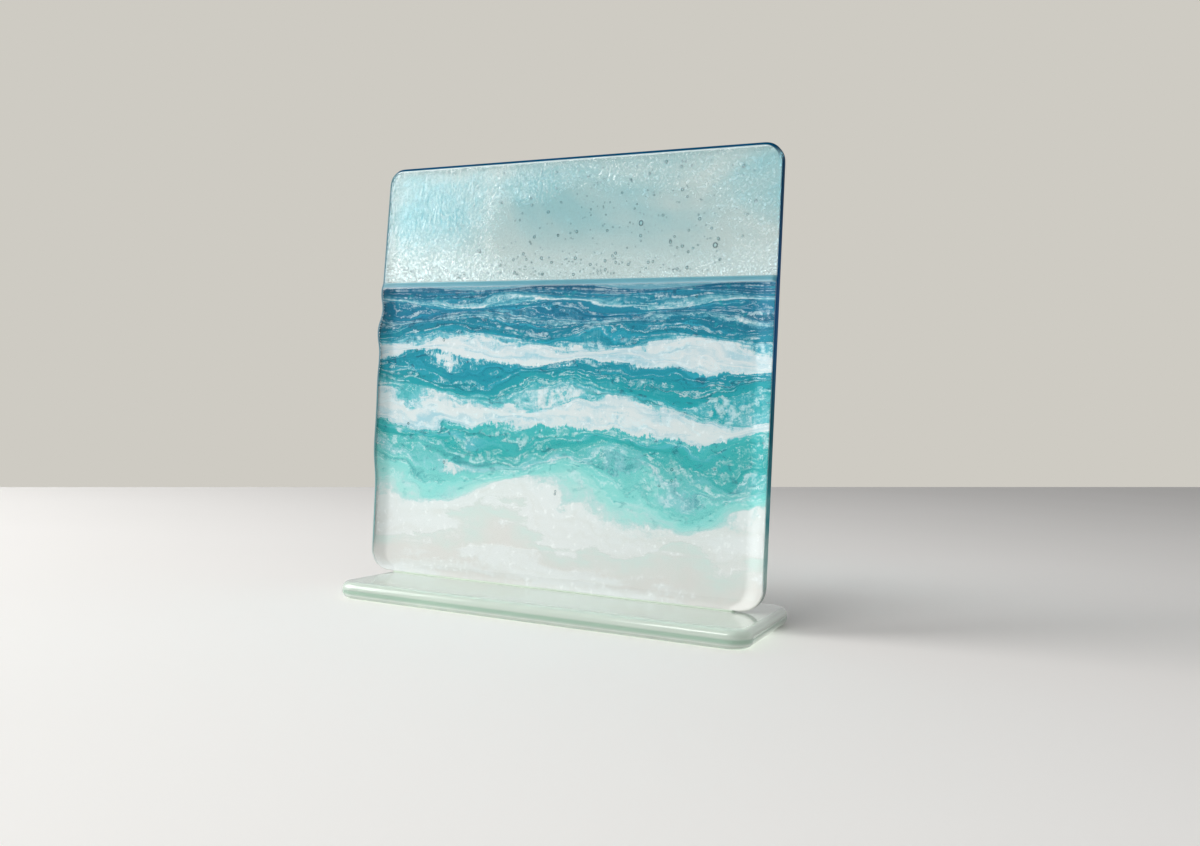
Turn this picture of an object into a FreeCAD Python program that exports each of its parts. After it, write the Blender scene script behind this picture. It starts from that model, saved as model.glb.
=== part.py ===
import FreeCAD, Part
import math
import os
import Sketcher
from FreeCAD import Vector

# Glass wave sculpture: a square fused-glass panel standing upright on a glass bar.
# Millimetres. X runs along the panel to the right, Y away from the viewer and Z up.
# The origin is on the surface that the bar stands on, in the middle of the overall box.

os.makedirs("parts", exist_ok=True)
doc = FreeCAD.newDocument("glass_wave_sculpture")

# Driving dimensions: name, value and what it sets
SIZES = (
    ("panel_width", "200", "width of the panel between its straight edges"),
    ("panel_height", "200", "height of the panel"),
    ("back_thickness", "3.8", "back sheet"),
    ("sea_thickness", "3.8", "front sheet below the horizon"),
    ("sky_thickness", "3.2", "front sheet above the horizon"),
    ("frit_thickness", "0.4", "coloured frit between the sheets"),
    ("frit_inset", "0.6", "clear glass left round the frit"),
    ("horizon_height", "142.6", "height of the step above the panel's foot"),
    ("arris_radius", "2.2", "fire-polished arris of the panel"),
    ("step_radius", "2.8", "rounded upper edge of the front sheet at the horizon"),
    ("top_corner_radius", "8", "upper corners of the panel"),
    ("foot_corner_radius", "10", "lower corners of the panel"),
    ("lobe_reach", "2.9", "how far the frit pushes the left edge out"),
    ("base_length", "195", "base bar, along the panel"),
    ("base_depth", "75", "base bar, from front to back"),
    ("base_sheet_thickness", "4", "each of the two sheets of the bar"),
    ("base_corner_radius", "9", "corners of the bar in plan"),
    ("base_arris_radius", "3.2", "fire-polished arris of the bar"),
    ("panel_side_offset", "7", "panel's middle to the left of the bar's middle"),
    ("panel_set_back", "5.5", "panel's middle behind the bar's middle"),
    ("bond_thickness", "0.5", "adhesive under the panel"),
    ("bond_squeeze", "1.2", "adhesive pressed out on each side"),
    ("bond_end_gap", "3", "bare stretch at each end of the adhesive"),
)

sizes = doc.addObject("Spreadsheet::Sheet", "sizes")
for row, (alias, value, note) in enumerate(SIZES, start=1):
    sizes.set("A%d" % row, alias)
    sizes.set("B%d" % row, value)
    sizes.set("C%d" % row, note)
    sizes.setAlias("B%d" % row, alias)

# Places that follow from the driving dimensions
PLACES = (
    ("base_height", "=2 * base_sheet_thickness"),
    ("panel_thickness", "=back_thickness + frit_thickness + sea_thickness"),
    ("panel_foot", "=base_height + bond_thickness"),
    ("panel_back", "=panel_set_back + panel_thickness / 2"),
    ("frit_back", "=panel_back - back_thickness"),
    ("sea_back", "=frit_back - frit_thickness"),
    ("overall_width",
     "=panel_width / 2 + lobe_reach + panel_side_offset + base_length / 2"),
    ("panel_middle", "=panel_width / 2 + lobe_reach - overall_width / 2"),
    ("base_middle", "=panel_middle + panel_side_offset"),
    ("bond_length", "=panel_width - 2 * foot_corner_radius - 2 * bond_end_gap"),
    ("bond_top_width", "=panel_thickness - 2 * arris_radius"),
    ("bond_foot_width", "=bond_top_width + 2 * bond_squeeze"),
)
for row, (alias, formula) in enumerate(PLACES, start=len(SIZES) + 1):
    sizes.set("A%d" % row, alias)
    sizes.set("B%d" % row, formula)
    sizes.setAlias("B%d" % row, alias)
doc.recompute()


def size(alias):
    return float(sizes.get(alias))


def origin_plane(body, role):
    for feature in body.Origin.OriginFeatures:
        if feature.Role == role:
            return feature


def new_body(label):
    body = doc.addObject("PartDesign::Body", label)
    body.Label = label
    return body


def new_sketch(body, role, name):
    sketch = body.newObject("Sketcher::SketchObject", name)
    sketch.AttachmentSupport = [(origin_plane(body, role), "")]
    sketch.MapMode = "FlatFace"
    return sketch


def place(item, x, y, z):
    item.setExpression(".Placement.Base.x", x)
    item.setExpression(".Placement.Base.y", y)
    item.setExpression(".Placement.Base.z", z)


def pad(body, sketch, name, length):
    feature = body.newObject("PartDesign::Pad", name)
    feature.Profile = sketch
    feature.setExpression("Length", length)
    body.Tip = feature
    sketch.Visibility = False
    doc.recompute()
    return feature


def edge_names(shape, wanted):
    # Names of the edges whose middle point satisfies a rule
    names = []
    for number, edge in enumerate(shape.Edges, start=1):
        middle = edge.valueAt((edge.FirstParameter + edge.LastParameter) / 2)
        if wanted(edge, middle):
            names.append("Edge%d" % number)
    return names


def round_edges(body, source, name, radius, wanted):
    feature = body.newObject("PartDesign::Fillet", name)
    feature.Base = (source, edge_names(source.Shape, wanted))
    feature.setExpression("Radius", radius)
    body.Tip = feature
    doc.recompute()
    return feature


def rounded_rectangle(sketch, width, height, radius):
    # Four sides and four corner arcs about the sketch's own middle, held by constraints
    half_x = size(width) / 2
    half_y = size(height) / 2
    corner = size(radius)
    in_x = half_x - corner
    in_y = half_y - corner
    up = Vector(0, 0, 1)
    ends = (
        (Vector(-in_x, -half_y), Vector(in_x, -half_y)),
        (Vector(half_x, -in_y), Vector(half_x, in_y)),
        (Vector(in_x, half_y), Vector(-in_x, half_y)),
        (Vector(-half_x, in_y), Vector(-half_x, -in_y)),
    )
    centres = (Vector(in_x, -in_y), Vector(in_x, in_y), Vector(-in_x, in_y), Vector(-in_x, -in_y))
    sides = [sketch.addGeometry(Part.LineSegment(start, end)) for start, end in ends]
    arcs = []
    for turn, centre in enumerate(centres):
        first = (turn - 1) * math.pi / 2
        arc = Part.ArcOfCircle(Part.Circle(centre, up, corner), first, first + math.pi / 2)
        arcs.append(sketch.addGeometry(arc))
    for turn in range(4):
        following = sides[(turn + 1) % 4]
        sketch.addConstraint(Sketcher.Constraint("Tangent", sides[turn], 2, arcs[turn], 1))
        sketch.addConstraint(Sketcher.Constraint("Tangent", arcs[turn], 2, following, 1))
    for turn in range(3):
        sketch.addConstraint(Sketcher.Constraint("Equal", arcs[turn], arcs[turn + 1]))
    sketch.addConstraint(Sketcher.Constraint("Horizontal", sides[2]))
    sketch.addConstraint(Sketcher.Constraint("Vertical", sides[3]))
    sketch.addConstraint(Sketcher.Constraint("Symmetric", sides[0], 1, sides[0], 2, -2))
    sketch.addConstraint(Sketcher.Constraint("Symmetric", sides[1], 1, sides[1], 2, -1))
    wide = Sketcher.Constraint("DistanceX", sides[3], 1, sides[1], 1, size(width))
    tall = Sketcher.Constraint("DistanceY", sides[0], 1, sides[2], 1, size(height))
    turned = Sketcher.Constraint("Radius", arcs[0], corner)
    for constraint, alias in ((wide, width), (tall, height), (turned, radius)):
        index = sketch.addConstraint(constraint)
        sketch.setExpression("Constraints[%d]" % index, "sizes." + alias)


# Base bar: two sheets fused face to face, with the outer arrises rounded
def base_sheet(label, height_of_foot, outer_face_up):
    body = new_body(label)
    sketch = new_sketch(body, "XY_Plane", label + "_outline")
    rounded_rectangle(sketch, "base_length", "base_depth", "base_corner_radius")
    plate = pad(body, sketch, label + "_plate", "sizes.base_sheet_thickness")
    outer = size("base_sheet_thickness") if outer_face_up else 0

    def on_outer_face(edge, middle):
        return abs(middle.z - outer) < size("base_sheet_thickness") / 4

    round_edges(body, plate, label + "_arris", "sizes.base_arris_radius", on_outer_face)
    place(body, "sizes.base_middle", "0", height_of_foot)
    return body


base_lower_sheet = base_sheet("base_lower_sheet", "0", False)
base_upper_sheet = base_sheet("base_upper_sheet", "sizes.base_sheet_thickness", True)


# Adhesive: a low bead with hollow sides, as wide at the top as the panel's flat foot
def make_bond_bead():
    body = new_body("bond_bead")
    sketch = new_sketch(body, "YZ_Plane", "bond_profile")
    half_foot = size("bond_foot_width") / 2
    half_top = size("bond_top_width") / 2
    height = size("bond_thickness")
    waist_share = 0.35
    waist = half_top + (half_foot - half_top) * waist_share
    corners = (
        Vector(-half_foot, 0),
        Vector(half_foot, 0),
        Vector(half_top, height),
        Vector(-half_top, height),
    )
    right_middle = Vector(waist, height * waist_share)
    left_middle = Vector(-waist, height * waist_share)
    sketch.addGeometry(Part.LineSegment(corners[0], corners[1]))
    sketch.addGeometry(Part.Arc(corners[1], right_middle, corners[2]))
    sketch.addGeometry(Part.LineSegment(corners[2], corners[3]))
    sketch.addGeometry(Part.Arc(corners[3], left_middle, corners[0]))
    bead = body.newObject("PartDesign::Pad", "bond_length_pad")
    bead.Profile = sketch
    bead.Midplane = True
    bead.setExpression("Length", "sizes.bond_length")
    body.Tip = bead
    place(body, "sizes.panel_middle", "sizes.panel_set_back", "sizes.base_height")
    return body


bond_bead = make_bond_bead()


# Panel outlines, seen from the front, with x from the panel's middle and y from its foot
STRAIGHT_SHARE = 0.0001


def corner_arc(centre_x, centre_y, radius, first_quarter):
    start = first_quarter * math.pi / 2
    circle = Part.Circle(Vector(centre_x, centre_y), Vector(0, 0, 1), radius)
    return Part.ArcOfCircle(circle, start, start + math.pi / 2)


def swing(start, end, along):
    # Two tangent arcs from start to end that both leave and arrive in the direction along
    step = end - start
    across = step - along * step.dot(along)
    if across.Length < step.Length * STRAIGHT_SHARE:
        return [Part.LineSegment(start, end)]
    middle = (start + end) * 0.5
    radius = step.Length ** 2 / (4 * across.Length)
    side = across * (1 / across.Length)
    arcs = []
    for first, last, centre in (
        (start, middle, start + side * radius),
        (middle, end, end - side * radius),
    ):
        towards = first + last - centre * 2
        arcs.append(Part.Arc(first, centre + towards * (radius / towards.Length), last))
    return arcs


def swings(points, along):
    curves = []
    for start, end in zip(points, points[1:]):
        curves += swing(start, end, along)
    return curves


# Crests and hollows of the left edge: height as a share of the horizon's, reach of lobe_reach
LOBE_SHARES = (
    (1.00, 0.52),
    (0.965, 0.63),
    (0.91, 0.22),
    (0.83, 1.00),
    (0.75, 0.46),
    (0.66, 0.62),
    (0.55, 0.55),
    (0.44, 0.64),
    (0.28, 0.00),
)


def lobed_edge(inset):
    # Left edge from the horizon down to the corner of the foot, straight at its lower end
    left = -size("panel_width") / 2 + inset
    points = []
    for height_share, reach_share in LOBE_SHARES:
        across = left - reach_share * size("lobe_reach")
        points.append(Vector(across, height_share * size("horizon_height")))
    points.append(Vector(left, size("foot_corner_radius")))
    return swings(points, Vector(0, -1, 0)), points[0]


def sea_outline(inset):
    # Closed outline of the front sheet below the horizon, drawn inwards by inset
    half = size("panel_width") / 2 - inset
    foot = inset
    top = size("horizon_height")
    corner = size("foot_corner_radius") - inset
    lobes, left_end = lobed_edge(inset)
    return (
        Part.LineSegment(Vector(-half + corner, foot), Vector(half - corner, foot)),
        corner_arc(half - corner, foot + corner, corner, -1),
        Part.LineSegment(Vector(half, foot + corner), Vector(half, top)),
        Part.LineSegment(Vector(half, top), left_end),
        *lobes,
        corner_arc(-half + corner, foot + corner, corner, 2),
    )


def back_outline():
    half = size("panel_width") / 2
    top = size("panel_height")
    low = size("foot_corner_radius")
    high = size("top_corner_radius")
    return (
        Part.LineSegment(Vector(-half + low, 0), Vector(half - low, 0)),
        corner_arc(half - low, low, low, -1),
        Part.LineSegment(Vector(half, low), Vector(half, top - high)),
        corner_arc(half - high, top - high, high, 0),
        Part.LineSegment(Vector(half - high, top), Vector(-half + high, top)),
        corner_arc(-half + high, top - high, high, 1),
        Part.LineSegment(Vector(-half, top - high), Vector(-half, low)),
        corner_arc(-half + low, low, low, 2),
    )


def sky_outline():
    half = size("panel_width") / 2
    foot = size("horizon_height")
    top = size("panel_height")
    high = size("top_corner_radius")
    return (
        Part.LineSegment(Vector(-half, foot), Vector(half, foot)),
        Part.LineSegment(Vector(half, foot), Vector(half, top - high)),
        corner_arc(half - high, top - high, high, 0),
        Part.LineSegment(Vector(half - high, top), Vector(-half + high, top)),
        corner_arc(-half + high, top - high, high, 1),
        Part.LineSegment(Vector(-half, top - high), Vector(-half, foot)),
    )


def panel_sheet(label, outline, thickness, back_face):
    # A sheet padded from its back face towards the viewer
    body = new_body(label)
    sketch = new_sketch(body, "XZ_Plane", label + "_outline")
    for curve in outline:
        sketch.addGeometry(curve)
    plate = pad(body, sketch, label + "_plate", "sizes." + thickness)
    place(body, "sizes.panel_middle", "sizes." + back_face, "sizes.panel_foot")
    return body, plate


def make_back_sheet():
    body, plate = panel_sheet("back_sheet", back_outline(), "back_thickness", "panel_back")

    def on_back_face(edge, middle):
        return abs(middle.y) < size("back_thickness") / 4

    round_edges(body, plate, "back_arris", "sizes.arris_radius", on_back_face)
    return body


def make_sky_sheet():
    body, plate = panel_sheet("sky_sheet", sky_outline(), "sky_thickness", "frit_back")
    front = -size("sky_thickness")

    def on_front_face(edge, middle):
        above_foot = middle.z > size("horizon_height") + size("frit_thickness")
        return abs(middle.y - front) < size("sky_thickness") / 4 and above_foot

    round_edges(body, plate, "sky_arris", "sizes.arris_radius", on_front_face)
    return body


def make_sea_sheet():
    body, plate = panel_sheet("sea_sheet", sea_outline(0), "sea_thickness", "sea_back")
    front = -size("sea_thickness")

    def on_front_face(middle):
        return abs(middle.y - front) < size("sea_thickness") / 8

    def at_horizon(edge, middle):
        rise = abs(edge.Vertexes[0].Z - edge.Vertexes[-1].Z)
        near_top = middle.z > size("horizon_height") - 2 * size("step_radius")
        return near_top and rise < size("arris_radius") / 4

    def horizon_step(edge, middle):
        return on_front_face(middle) and at_horizon(edge, middle)

    def sides_and_foot(edge, middle):
        return on_front_face(middle) and not at_horizon(edge, middle)

    step = round_edges(body, plate, "sea_step", "sizes.step_radius", horizon_step)
    round_edges(body, step, "sea_arris", "sizes.arris_radius", sides_and_foot)
    return body


back_sheet = make_back_sheet()
sky_sheet = make_sky_sheet()
sea_sheet = make_sea_sheet()

# Frit bands, from the horizon down: swells that grow taller and longer towards the foot
FRIT_NAMES = (
    "haze_line_frit",
    "navy_deep_frit",
    "far_foam_frit",
    "ultramarine_frit",
    "petrol_frit",
    "teal_frit",
    "crest_foam_frit",
    "turquoise_frit",
    "sea_green_frit",
    "middle_foam_frit",
    "aqua_frit",
    "pale_aqua_frit",
    "near_foam_frit",
    "milky_shallow_frit",
)

GROWTH_SHARE = 1.16
SWELL_SHARE = 0.42
FAR_CRESTS_SHARE = 5
NEAR_CRESTS_SHARE = 3
PHASE_STEP_SHARE = 0.37
UNEVEN_SHARE = 0.35


def grown(steps):
    # Depth under the horizon after a number of bands, as a share of the whole
    return (GROWTH_SHARE ** steps - 1) / (GROWTH_SHARE ** len(FRIT_NAMES) - 1)


def band_boundary(number):
    # Boundary above a band: crests and hollows by turns about its mean height
    horizon = size("horizon_height")
    half_span = size("panel_width") / 2 + 2 * size("lobe_reach")
    if number == 0:
        level = horizon - size("frit_inset")
        return [Vector(-half_span, level), Vector(half_span, level)]
    if number == len(FRIT_NAMES):
        return [Vector(-half_span, 0), Vector(half_span, 0)]
    mean = horizon * (1 - grown(number))
    swell = SWELL_SHARE * horizon * (grown(number) - grown(number - 1))
    down = number / len(FRIT_NAMES)
    crests = FAR_CRESTS_SHARE + (NEAR_CRESTS_SHARE - FAR_CRESTS_SHARE) * down
    spacing = 2 * half_span / crests
    shift = spacing * ((number * PHASE_STEP_SHARE) % 1)
    points = []
    for index in range(-1, math.ceil(crests) + 2):
        sign = 1 if (index + number) % 2 else -1
        uneven = 1 + UNEVEN_SHARE * math.sin(index * 2 + number * 3)
        across = -half_span + shift + index * spacing
        points.append(Vector(across, mean + sign * swell * uneven))
    return points


def make_frit_band(number, name, inner):
    upper = swings(band_boundary(number), Vector(1, 0, 0))
    lower = swings(band_boundary(number + 1), Vector(1, 0, 0))
    curves = upper + lower + [
        Part.LineSegment(upper[0].StartPoint, lower[0].StartPoint),
        Part.LineSegment(upper[-1].EndPoint, lower[-1].EndPoint),
    ]
    edges = Part.sortEdges([curve.toShape() for curve in curves])[0]
    face = Part.Face(Part.Wire(edges))
    poured = face.extrude(Vector(0, 0, size("frit_thickness")))
    band = doc.addObject("Part::Feature", name)
    band.Label = name
    band.Shape = poured.common(inner).Solids[0]
    band.Placement = FreeCAD.Placement(Vector(0, 0, 0), FreeCAD.Rotation(Vector(1, 0, 0), 90))
    place(band, "sizes.panel_middle", "sizes.frit_back", "sizes.panel_foot")
    return band


inner_outline = Part.Wire([curve.toShape() for curve in sea_outline(size("frit_inset"))])
inner_layer = Part.Face(inner_outline).extrude(Vector(0, 0, size("frit_thickness")))
frit_bands = [
    make_frit_band(number, name, inner_layer) for number, name in enumerate(FRIT_NAMES)
]

doc.recompute()
for item in doc.Objects:
    if "Invalid" in item.State or "Error" in item.State:
        raise RuntimeError("%s failed to build: %s" % (item.Label, item.State))

pieces = [base_lower_sheet, base_upper_sheet, bond_bead, back_sheet, sky_sheet, sea_sheet]
pieces += frit_bands
for piece in pieces:
    if piece.Shape.isNull() or not piece.Shape.isValid() or len(piece.Shape.Solids) != 1:
        raise RuntimeError("%s has no valid solid" % piece.Label)
for piece in pieces:
    piece.Shape.exportStep("parts/%s.step" % piece.Label)
    print("%-20s %10.1f mm3" % (piece.Label, piece.Shape.Volume))
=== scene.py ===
import math
import random

import bpy
import numpy as np
from mathutils import Matrix, Vector
from mathutils.geometry import delaunay_2d_cdt
from mathutils.kdtree import KDTree


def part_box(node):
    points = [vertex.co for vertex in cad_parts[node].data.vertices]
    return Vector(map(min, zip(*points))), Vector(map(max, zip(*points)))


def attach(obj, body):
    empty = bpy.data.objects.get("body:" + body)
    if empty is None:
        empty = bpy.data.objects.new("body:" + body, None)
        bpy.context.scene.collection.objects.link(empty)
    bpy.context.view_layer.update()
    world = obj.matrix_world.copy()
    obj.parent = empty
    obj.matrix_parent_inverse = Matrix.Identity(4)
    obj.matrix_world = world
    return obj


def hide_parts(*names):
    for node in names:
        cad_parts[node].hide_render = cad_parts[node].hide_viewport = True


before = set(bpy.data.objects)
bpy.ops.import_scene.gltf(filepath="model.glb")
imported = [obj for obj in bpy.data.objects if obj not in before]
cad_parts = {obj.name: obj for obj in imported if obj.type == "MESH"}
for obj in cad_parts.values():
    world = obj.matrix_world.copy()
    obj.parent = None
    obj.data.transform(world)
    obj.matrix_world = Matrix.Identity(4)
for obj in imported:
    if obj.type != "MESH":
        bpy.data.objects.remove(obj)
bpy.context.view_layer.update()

MM = 0.001

# Colours are written as 0-255. Bands of coloured frit, from the horizon down: node and colour
BANDS = (
    ("haze_line_frit", (100, 156, 172)),
    ("navy_deep_frit", (0, 92, 124)),
    ("far_foam_frit", (26, 128, 150)),
    ("ultramarine_frit", (0, 106, 136)),
    ("petrol_frit", (0, 104, 130)),
    ("teal_frit", (0, 126, 146)),
    ("crest_foam_frit", (44, 152, 170)),
    ("turquoise_frit", (0, 128, 146)),
    ("sea_green_frit", (20, 148, 154)),
    ("middle_foam_frit", (76, 176, 178)),
    ("aqua_frit", (36, 156, 156)),
    ("pale_aqua_frit", (112, 192, 188)),
    ("near_foam_frit", (176, 208, 203)),
    ("milky_shallow_frit", (198, 196, 193)),
)

# White foam by depth, counted in bands from the horizon: soft above each crest, sharp under it
FOAM = (
    (0.0, 0.0), (1.3, 0.05), (2.0, 0.36), (2.75, 0.72), (2.95, 0.12), (3.6, 0.28), (4.4, 0.58),
    (4.6, 0.05), (5.3, 0.16), (5.9, 0.56), (6.4, 1.0), (7.1, 1.0), (7.3, 0.12), (8.1, 0.20),
    (8.8, 0.56), (9.4, 0.96), (9.85, 0.96), (10.0, 0.10), (10.7, 0.30), (11.2, 0.62),
    (11.35, 0.12), (12.0, 0.50), (12.5, 0.96), (12.85, 0.86), (13.0, 0.50), (13.5, 0.72),
    (14.0, 0.80),
)


def linear(colour):
    """A colour written as 0-255 in linear values, with alpha."""
    shares = [c / 255 for c in colour]
    return [c / 12.92 if c < 0.04045 else ((c + 0.055) / 1.055) ** 2.4 for c in shares] + [1.0]


# ---------------------------------------------------------------- shader nodes

class Tree:
    """The shader nodes of a material or a world, built one node at a time."""

    def __init__(self, owner):
        owner.use_nodes = True
        self.owner = owner
        self.nodes, self.links = owner.node_tree.nodes, owner.node_tree.links
        self.nodes.clear()

    def feed(self, socket, value):
        """Links a socket or sets it; a tuple of three is a colour written as 0-255."""
        if isinstance(value, bpy.types.NodeSocket):
            self.links.new(value, socket)
        elif isinstance(value, tuple) and len(value) == 3:
            socket.default_value = linear(value)
        else:
            socket.default_value = value

    def add(self, kind, inputs, **settings):
        node = self.nodes.new("ShaderNode" + kind)
        for key, value in settings.items():
            setattr(node, key, value)
        for key, value in inputs.items():
            self.feed(node.inputs[key], value)
        return node

    def math(self, operation, *values, clamp=False):
        inputs = dict(enumerate(values))
        return self.add("Math", inputs, operation=operation, use_clamp=clamp).outputs[0]

    def plus(self, total, *others):
        for other in others:
            total = self.math("ADD", total, other)
        return total

    def times(self, product, *others):
        for other in others:
            product = self.math("MULTIPLY", product, other)
        return product

    def minus(self, first, second):
        return self.math("SUBTRACT", first, second)

    def most(self, first, second):
        return self.math("MAXIMUM", first, second)

    def swing(self, noise, size):
        """A noise turned into a swing round nought."""
        return self.times(self.minus(noise, 0.5), size)

    def vector(self, x, y, z=0.0):
        return self.add("CombineXYZ", {0: x, 1: y, 2: z}).outputs[0]

    def noise(self, vector, scale=1.0, detail=2.0, rough=0.5, twist=0.0):
        inputs = {"Vector": vector, "Scale": scale, "Detail": detail, "Roughness": rough,
                  "Distortion": twist}
        return self.add("TexNoise", inputs).outputs[0]

    def spread(self, value, low, high, start=0.0, end=1.0):
        """value from low to high turned smoothly into start to end."""
        inputs = {"Value": value, "From Min": low, "From Max": high, "To Min": start,
                  "To Max": end}
        return self.add("MapRange", inputs, interpolation_type="SMOOTHSTEP").outputs[0]

    def mix(self, share, first, second):
        return self.add("Mix", {0: share, 6: first, 7: second}, data_type="RGBA").outputs[2]

    def ramp(self, value, stops):
        """value from 0 to 1 turned into colours; stops are (place, linear colour)."""
        node = self.add("ValToRGB", {0: value})
        elements = node.color_ramp.elements
        for element, (place, colour) in zip(elements, stops):
            element.position, element.color = place, colour
        for place, colour in stops[len(elements):]:
            elements.new(place).color = colour
        return node.outputs[0]

    def point(self):
        return self.add("TexCoord", {}).outputs["Object"]

    def place(self):
        """The point on the object: its vector and its x, y and z."""
        point = self.point()
        return (point, *self.add("SeparateXYZ", {0: point}).outputs)

    def attribute(self, name):
        return self.add("Attribute", {}, attribute_name=name).outputs["Fac"]

    def bump(self, height, distance, strength):
        inputs = {"Height": height, "Distance": distance, "Strength": strength}
        return self.add("Bump", inputs).outputs[0]

    def shader(self, kind, inputs):
        return self.add(kind, inputs).outputs[0]

    def blend(self, share, first, second):
        return self.shader("MixShader", {0: share, 1: first, 2: second})

    def output(self, shader, **others):
        """Ends the material with its surface, and with its volume if that is given."""
        self.add("OutputMaterial", {"Surface": shader, **others})
        return self.owner

    def glass(self, colour, normal, rough, lets_through, clear, polish=0.0, index=1.5):
        """Glass that bends what is behind it and lets the lamps' rays through."""
        body = self.shader("BsdfPrincipled", {
            "Base Color": colour,
            "Transmission Weight": clear,
            "Coat Weight": polish,
            "IOR": index,
            "Roughness": rough,
            "Normal": normal,
        })
        lamp = self.shader("BsdfTransparent", {"Color": lets_through})
        return self.blend(self.add("LightPath", {}).outputs["Is Shadow Ray"], body, lamp)


def new_tree(name):
    return Tree(bpy.data.materials.new(name))


# ---------------------------------------------------------------- shapes

# Points closer than this are one point of a mesh
WELD_REACH = 0.003 * MM
# Points of a solid closer than this to one of its faces lie on that face
TOUCH = 0.01 * MM
ARRIS_STEPS = 7
TURNS_IN = tuple(math.pi / 2 * (1 - k / ARRIS_STEPS) for k in range(ARRIS_STEPS + 1))
TURNS_OUT = tuple(math.pi / 2 * k / ARRIS_STEPS for k in range(ARRIS_STEPS + 1))


def corners_of(node):
    return np.array([v.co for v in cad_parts[node].data.vertices])


def loop_of(flat, spacing, passes=6):
    """Points on a closed outline round their middle, laid out evenly and smoothed a little."""
    flat = np.unique(np.round(flat, 7), axis=0)
    middle = (flat.min(0) + flat.max(0)) / 2
    reach = (flat.max(0) - flat.min(0)) / 2
    turned = (flat - middle) / reach
    flat = flat[np.argsort(np.arctan2(turned[:, 1], turned[:, 0]))]
    closed = np.vstack([flat, flat[:1]])
    along = np.concatenate([[0], np.cumsum(np.linalg.norm(np.diff(closed, axis=0), axis=1))])
    count = int(along[-1] / spacing)
    steps = np.linspace(0, along[-1], count, endpoint=False)
    loop = np.stack([np.interp(steps, along, closed[:, k]) for k in (0, 1)], axis=1)
    for _ in range(passes):
        loop = (np.roll(loop, 1, 0) + 2 * loop + np.roll(loop, -1, 0)) / 4
    return loop


def inward(loop):
    """The unit normal at each point of an anticlockwise loop, pointing into it."""
    along = np.roll(loop, -1, 0) - np.roll(loop, 1, 0)
    normal = np.stack([-along[:, 1], along[:, 0]], axis=1)
    return normal / np.linalg.norm(normal, axis=1, keepdims=True)


def well_inside(loop, columns, rows, margin):
    """The points of a grid that lie further than margin from the loop."""
    grid = np.array([(x, y) for y in rows for x in columns])
    near = np.array([np.min(np.sum((loop - p) ** 2, axis=1)) for p in grid])
    return grid[near > margin ** 2]


def cap(loop, inside):
    """Triangles that fill a loop and run through the points inside it: (points, faces)."""
    points = [Vector(p) for p in np.vstack([loop, inside])]
    edges = [(i, (i + 1) % len(loop)) for i in range(len(loop))]
    made = delaunay_2d_cdt(points, edges, [], 1, 1e-8)
    return np.array([list(p) for p in made[0]]), [list(f) for f in made[2]]


def new_piece(name, points, faces, material, stands_for=()):
    mesh = bpy.data.meshes.new(name)
    mesh.from_pydata([tuple(p) for p in points], [], faces)
    mesh.update()
    piece = bpy.data.objects.new(name, mesh)
    bpy.context.scene.collection.objects.link(piece)
    mesh.materials.append(material)
    mesh.polygons.foreach_set("use_smooth", [True] * len(mesh.polygons))
    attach(piece, "root")
    if stands_for:
        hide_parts(*stands_for)
    return piece


def give_values(piece, name, values):
    layer = piece.data.attributes.new(name, "FLOAT", "POINT")
    layer.data.foreach_set("value", np.asarray(values, dtype=np.float32))


def weld(points, faces, values):
    """Joins points that lie together and keeps the first one's value."""
    near = KDTree(len(points))
    for i, p in enumerate(points):
        near.insert(p, i)
    near.balance()
    first = [min(index for _, index, _ in near.find_range(p, WELD_REACH)) for p in points]
    kept = sorted(set(first))
    place = {old: new for new, old in enumerate(kept)}
    out = []
    for face in faces:
        ring = [place[first[i]] for i in face]
        ring = [a for a, b in zip(ring, ring[1:] + ring[:1]) if a != b]
        if len(ring) > 2:
            out.append(ring)
    return points[kept], out, values[kept]


def slab(loop, rings, inside_first, inside_last, lift):
    """A closed body with its faces outwards: (points, faces, how near the rim each point is).
    Rings are (inset, depth, rim) from one cap's border round the edge to the other's, and
    lift(flat, depth) gives the points of a ring or a cap in space."""
    normal = inward(loop)
    count = len(loop)
    points, rims, faces = [], [], []
    for inset, depth, rim in rings:
        points.append(lift(loop + normal * inset, depth))
        rims.append(np.full(count, rim))
    for k in range(len(rings) - 1):
        a, b = k * count, (k + 1) * count
        for i in range(count):
            j = (i + 1) % count
            faces.append([a + i, b + i, b + j, a + j])
    start = len(rings) * count
    for (inset, depth, rim), inside, flip in ((rings[0], inside_first, False),
                                              (rings[-1], inside_last, True)):
        flat, triangles = cap(loop + normal * inset, inside)
        points.append(lift(flat, depth))
        rims.append(np.full(len(flat), rim))
        faces += [[start + i for i in (t[::-1] if flip else t)] for t in triangles]
        start += len(flat)
    return weld(np.vstack(points), faces, np.concatenate(rims))


def sheet_faces(columns, rows, upward):
    """The faces of an open sheet of points laid out row by row, upwards or downwards."""
    faces = []
    for r in range(rows):
        for c in range(columns):
            a = r * (columns + 1) + c
            b = a + columns + 1
            faces.append([a, a + 1, b + 1, b] if upward else [a, b, b + 1, a + 1])
    return faces


# The panel's outline, its faces and its step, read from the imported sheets
back_low, back_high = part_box("back_sheet")
sky_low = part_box("sky_sheet")[0]
sea_low, sea_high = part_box("sea_sheet")
frit_front, frit_back = sea_high.y, back_low.y
frit_middle = (frit_front + frit_back) / 2
horizon = sky_low.z
foot, top = back_low.z, back_high.z
panel_left, panel_right = sea_low.x, sea_high.x
panel_middle = (panel_left + panel_right) / 2

ARRIS = 2.2 * MM
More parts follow.
